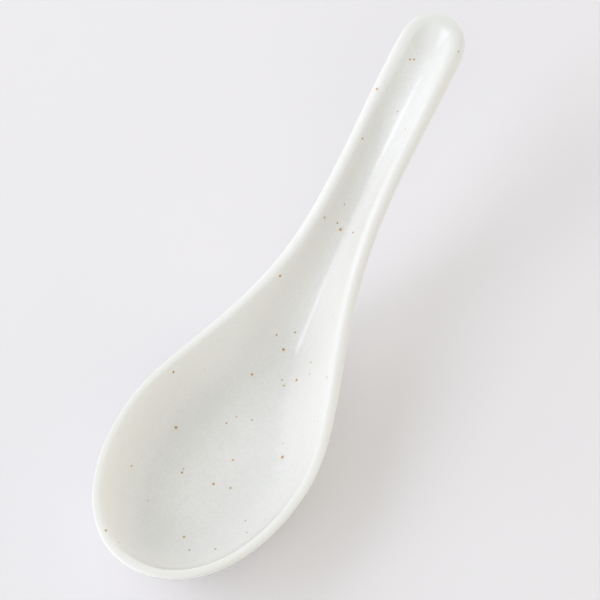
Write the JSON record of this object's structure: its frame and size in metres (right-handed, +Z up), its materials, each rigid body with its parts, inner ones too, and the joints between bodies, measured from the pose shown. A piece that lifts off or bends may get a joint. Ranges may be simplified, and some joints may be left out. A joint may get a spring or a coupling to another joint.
{
  "type": "chinese soup spoon",
  "caption": "Glazed ceramic soup spoon with a broad flat-floored bowl, an oval foot ring and a gutter-shaped handle that rises to a closed, rounded end.",
  "frame": {"origin": "halfway along the spoon, on the plane that its foot ring stands on", "axes": "+X along the spoon from the bowl's tip to the handle's end, +Y to the left of someone looking along +X, +Z up"},
  "size_m": [0.14, 0.0442, 0.0465],
  "materials": {
    "fired_clay": "bare, matt, fine-grained fired stoneware, ground flat on the foot ring",
    "glaze": "soft-gloss pale celadon-white glaze with a few small rust and olive iron specks",
    "pooled_glaze": "soft-gloss pale celadon-white glaze, slightly greener where it pooled"
  },
  "bodies": {
    "root": {"clay_body": "fired_clay", "glaze_coat": "glaze", "foot_glaze": "pooled_glaze"}
  },
  "joints": []
}
